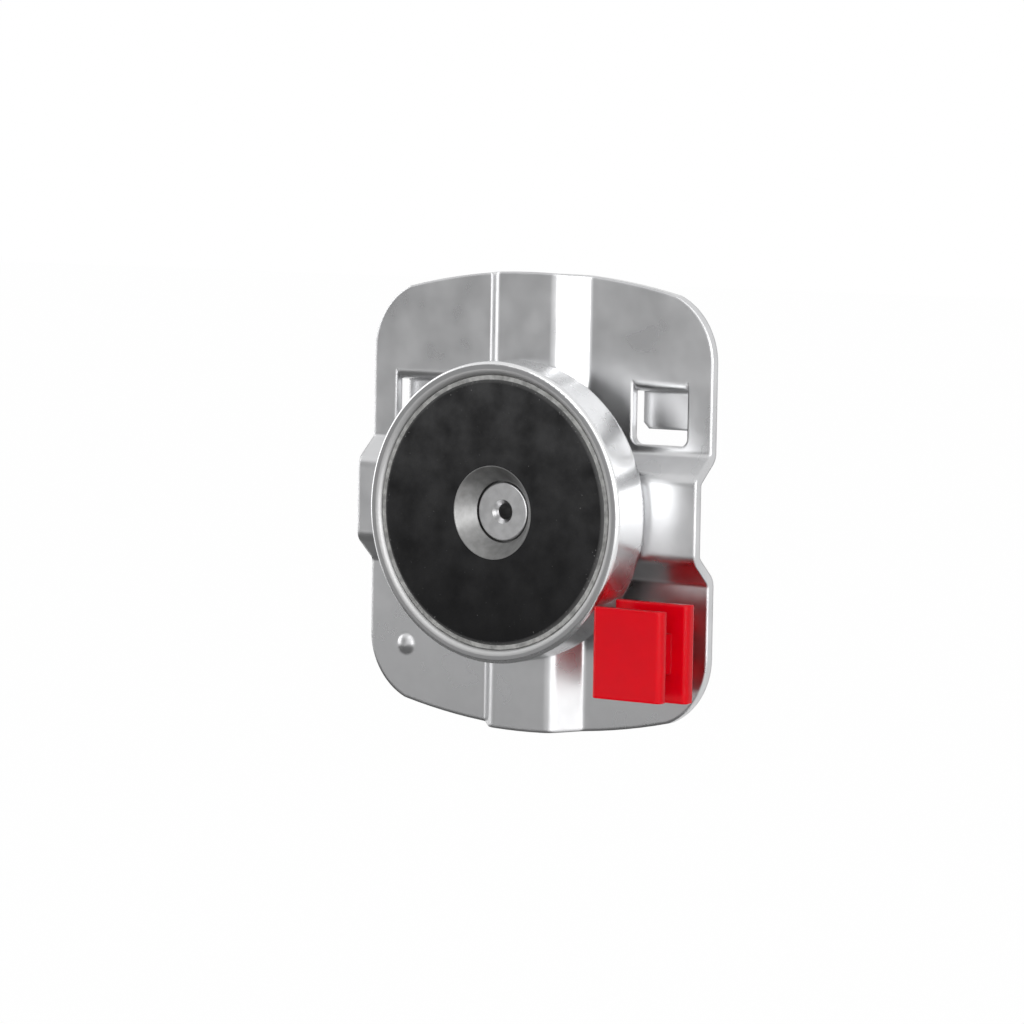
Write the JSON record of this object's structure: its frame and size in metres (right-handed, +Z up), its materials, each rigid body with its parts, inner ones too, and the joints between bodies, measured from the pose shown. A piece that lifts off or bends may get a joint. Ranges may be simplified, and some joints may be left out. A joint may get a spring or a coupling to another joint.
{
  "type": "magnetic tool holder",
  "caption": "Stamped sheet plate with a raised cross, a riveted pot magnet in the middle, rear hooks for a perforated panel and a plastic lock clip that slides.",
  "frame": {"origin": "on the magnet's axis, in the plane where the plate's rear faces rest on the panel", "axes": "+X to the right, +Z up along the hanging direction, -Y out of the panel towards the magnet's face"},
  "size_m": [0.0554, 0.0166, 0.0607],
  "materials": {
    "zinc_sheet": "bright zinc plating, satin",
    "zinc_cup": "bright zinc plating, smooth",
    "ferrite": "sintered hard ferrite, ground face",
    "filler": "grey casting resin",
    "turned_steel": "turned steel, zinc plated",
    "rivet": "plain aluminium",
    "mandrel": "broken steel end, dull",
    "red_plastic": "glossy moulded red plastic"
  },
  "bodies": {
    "holder": {"base_plate": "zinc_sheet", "magnet_cup": "zinc_cup", "ferrite_ring": "ferrite", "gap_filler": "filler", "centre_bush": "turned_steel", "rivet_body": "rivet", "rivet_mandrel": "mandrel"},
    "lock": {"lock_clip": "red_plastic"}
  },
  "joints": [
    {"name": "lock_slide", "type": "slide", "parent": "holder", "child": "lock", "axis": [0, 1, 0], "range_m": [0, 0.0055]}
  ]
}
